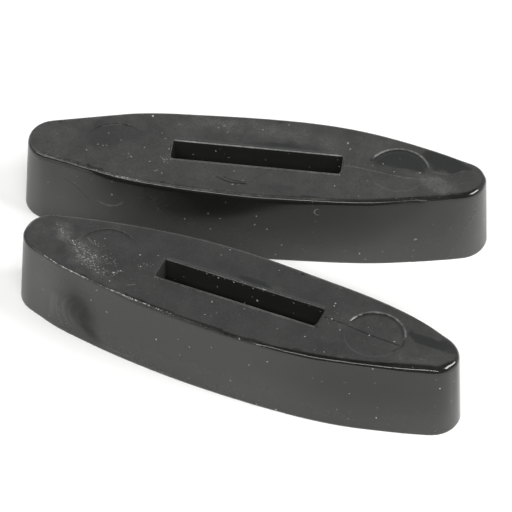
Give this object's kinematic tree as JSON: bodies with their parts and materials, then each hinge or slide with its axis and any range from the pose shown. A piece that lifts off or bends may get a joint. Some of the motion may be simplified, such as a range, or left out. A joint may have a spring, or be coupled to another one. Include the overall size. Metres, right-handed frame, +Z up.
{
  "type": "skate blade guards",
  "caption": "Pair of solid black moulded blade guards: pointed-oval blocks with blunt ends, each with a narrow blind slot along its middle for a skate blade.",
  "frame": {"origin": "bottom centre of the pair's box, on the surface that both guards lie on", "axes": "+X along the rear guard, +Y from the front guard to the rear guard, +Z up out of the slots"},
  "size_m": [0.1198, 0.0869, 0.022],
  "materials": {
    "moulded_rubber": "hard black moulded rubber, semi-gloss, dusty and lightly scuffed"
  },
  "bodies": {
    "rear": {"rear_guard": "moulded_rubber"},
    "front": {"front_guard": "moulded_rubber"}
  },
  "joints": [
    {"name": "front_lift", "type": "slide", "parent": "rear", "child": "front", "axis": [0, 0, 1], "range_m": [0, 0.06]}
  ]
}
